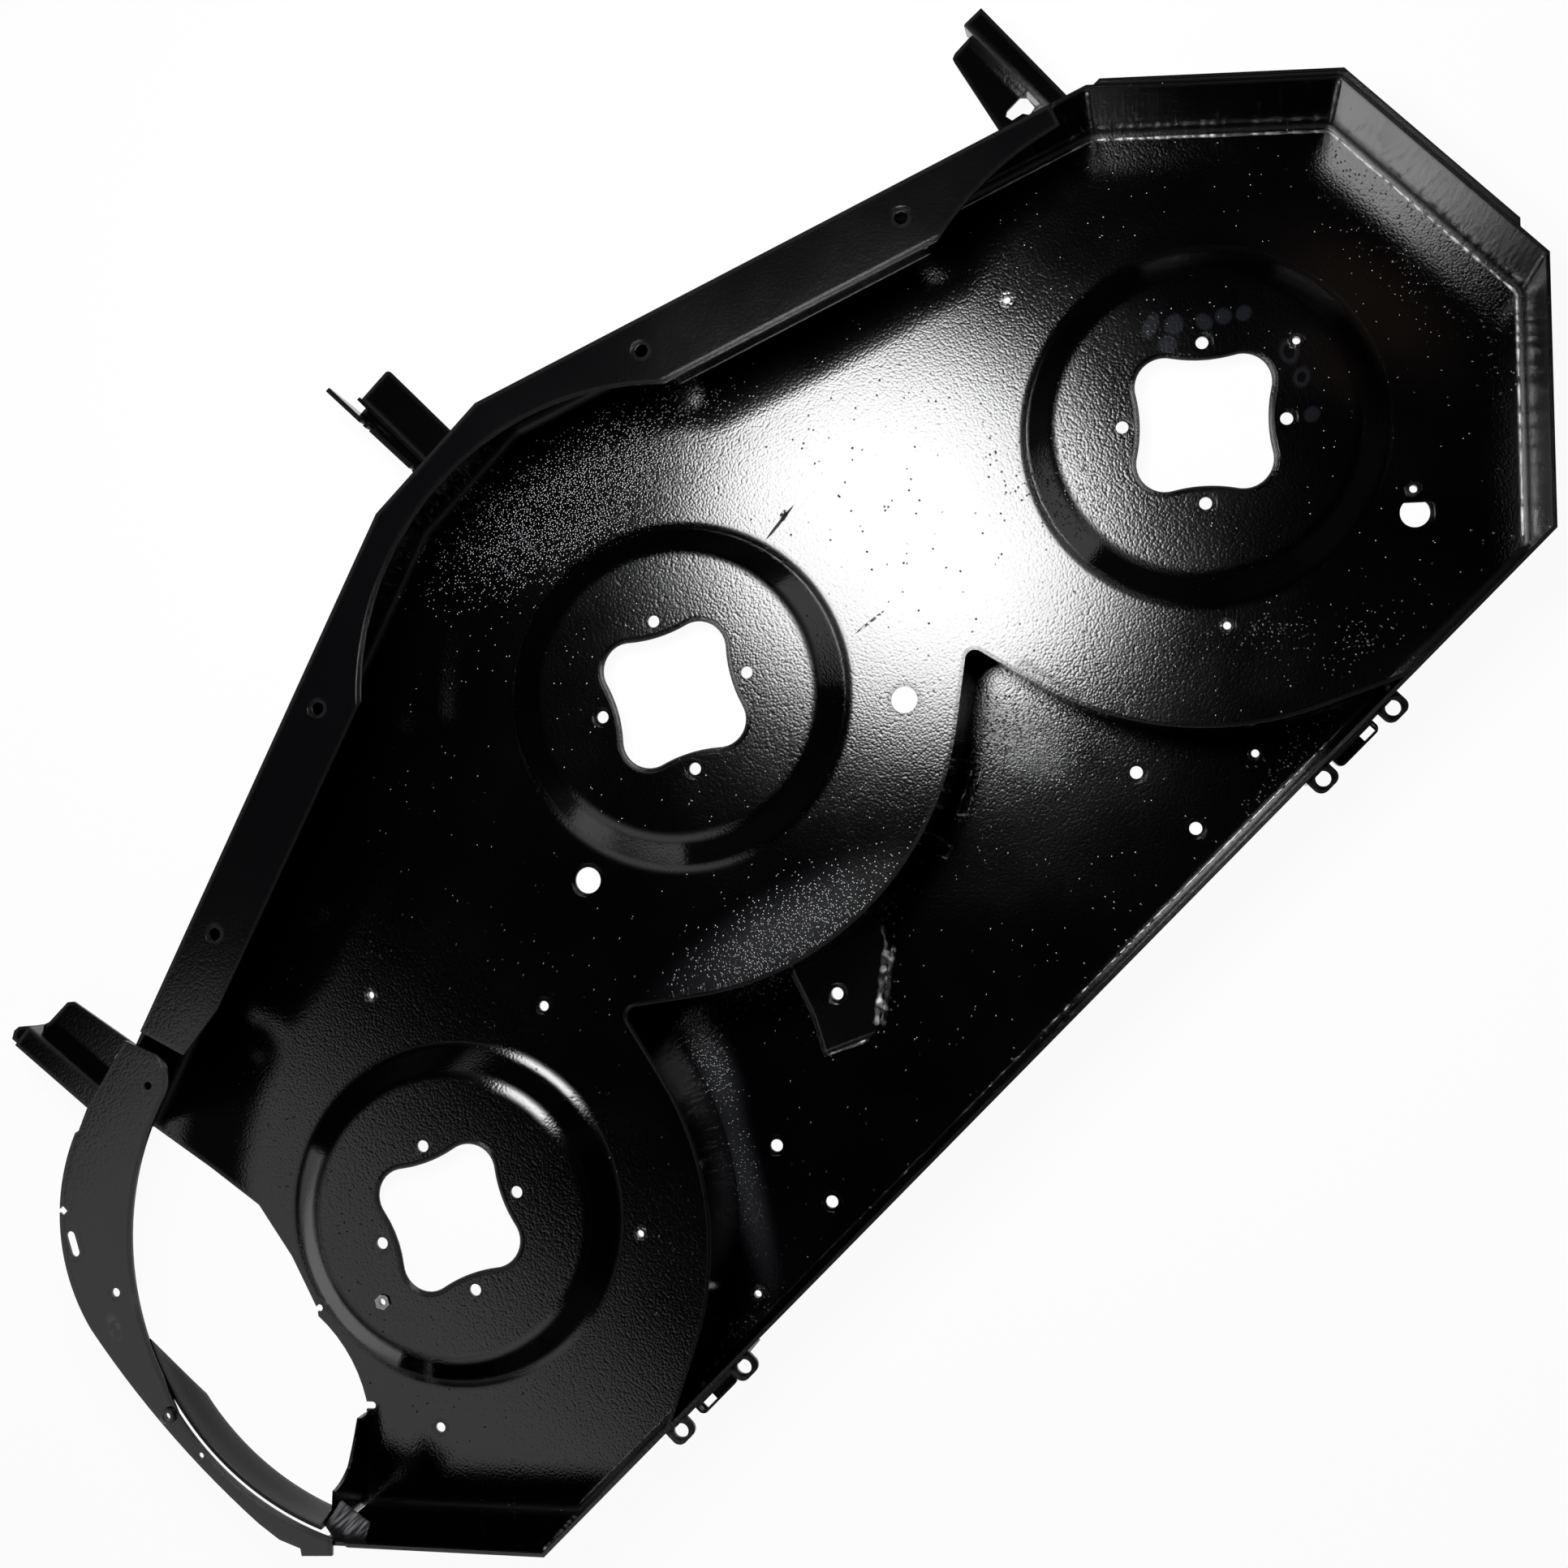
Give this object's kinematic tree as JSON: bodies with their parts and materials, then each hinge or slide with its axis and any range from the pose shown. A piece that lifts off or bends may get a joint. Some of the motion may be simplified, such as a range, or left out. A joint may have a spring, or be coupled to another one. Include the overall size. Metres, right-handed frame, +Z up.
{
  "type": "lawn mower deck shell",
  "caption": "Bare stamped and welded mower deck shell, laid upside down, with raised spindle seats, a cusped rear baffle, edge rails, hanger brackets and an open discharge side.",
  "frame": {"origin": "middle of the whole part in plan, at the level of the top plate's outer face, which rests on the floor", "axes": "+X towards the mower's left end, opposite the discharge side; +Y towards the mower's front; +Z up out of the open underside of the upturned deck"},
  "size_m": [1.4056, 0.816, 0.111],
  "materials": {
    "black_coat": "glossy black powder coat with a fine orange peel",
    "rail_coat": "glossy black powder coat, bright along its edges",
    "baffle_coat": "glossy black powder coat with gritty patches beside the welds",
    "weld_coat": "black powder coat over weld spatter",
    "bracket_coat": "semi-gloss black powder coat",
    "bright_tab": "bare metal with coarse grinding marks"
  },
  "bodies": {
    "root": {"deck_shell": "black_coat", "front_rail": "rail_coat", "rear_baffle": "baffle_coat", "patch_plate": "weld_coat", "weld_nuts": "weld_coat", "end_strip": "rail_coat", "discharge_rail": "rail_coat", "discharge_web": "baffle_coat", "corner_tab": "bright_tab", "rivet_nut": "rail_coat", "front_angle_left": "bracket_coat", "front_plate_left": "bracket_coat", "front_angle_centre": "bracket_coat", "front_blade_centre": "bracket_coat", "front_angle_right": "bracket_coat", "front_plate_right": "bracket_coat", "rear_bracket_left": "bracket_coat", "rear_bracket_right": "bracket_coat", "rear_loop_left": "bracket_coat", "rear_loop_right": "bracket_coat"}
  },
  "joints": []
}
